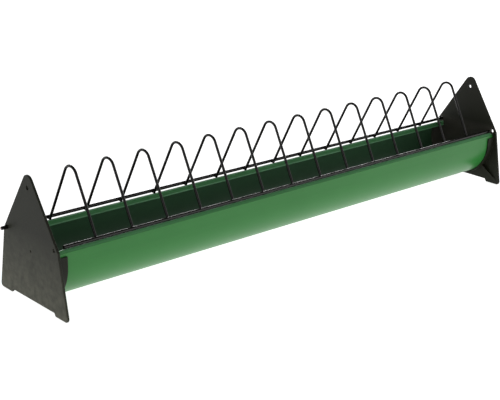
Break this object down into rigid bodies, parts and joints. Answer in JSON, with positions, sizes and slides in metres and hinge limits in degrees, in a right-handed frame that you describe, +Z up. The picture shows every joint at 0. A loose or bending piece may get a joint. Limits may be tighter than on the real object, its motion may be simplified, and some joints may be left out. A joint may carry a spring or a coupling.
{
  "type": "poultry feed trough",
  "caption": "Long half-round feed trough between two gabled end plates, under a hinged grille of wire bows.",
  "frame": {"origin": "on the floor, midway between the end plates and midway between the front and back feet", "axes": "+X along the trough to the right, +Y from the front (where the grille rests) to the back (where it hinges), +Z up"},
  "size_m": [1.02, 0.1786, 0.1976],
  "materials": {
    "moulded_black_plastic": "fine moulded texture, matte",
    "green_plastic_sheet": "extruded, soft sheen",
    "black_coated_wire": "smooth black coating, semi-gloss"
  },
  "bodies": {
    "stand": {"left_end_plate": "moulded_black_plastic", "right_end_plate": "moulded_black_plastic", "trough": "green_plastic_sheet"},
    "grille": {"hinge_rod": "black_coated_wire", "rest_rod": "black_coated_wire", "bow_01": "black_coated_wire", "bow_02": "black_coated_wire", "bow_03": "black_coated_wire", "bow_04": "black_coated_wire", "bow_05": "black_coated_wire", "bow_06": "black_coated_wire", "bow_07": "black_coated_wire", "bow_08": "black_coated_wire", "bow_09": "black_coated_wire", "bow_10": "black_coated_wire", "bow_11": "black_coated_wire", "bow_12": "black_coated_wire", "bow_13": "black_coated_wire", "bow_14": "black_coated_wire"}
  },
  "joints": [
    {"name": "grille_hinge", "type": "hinge", "parent": "stand", "child": "grille", "pos_m": [0, 0.0621, 0.10242], "axis": [-1, 0, 0], "range_deg": [0, 186]}
  ]
}
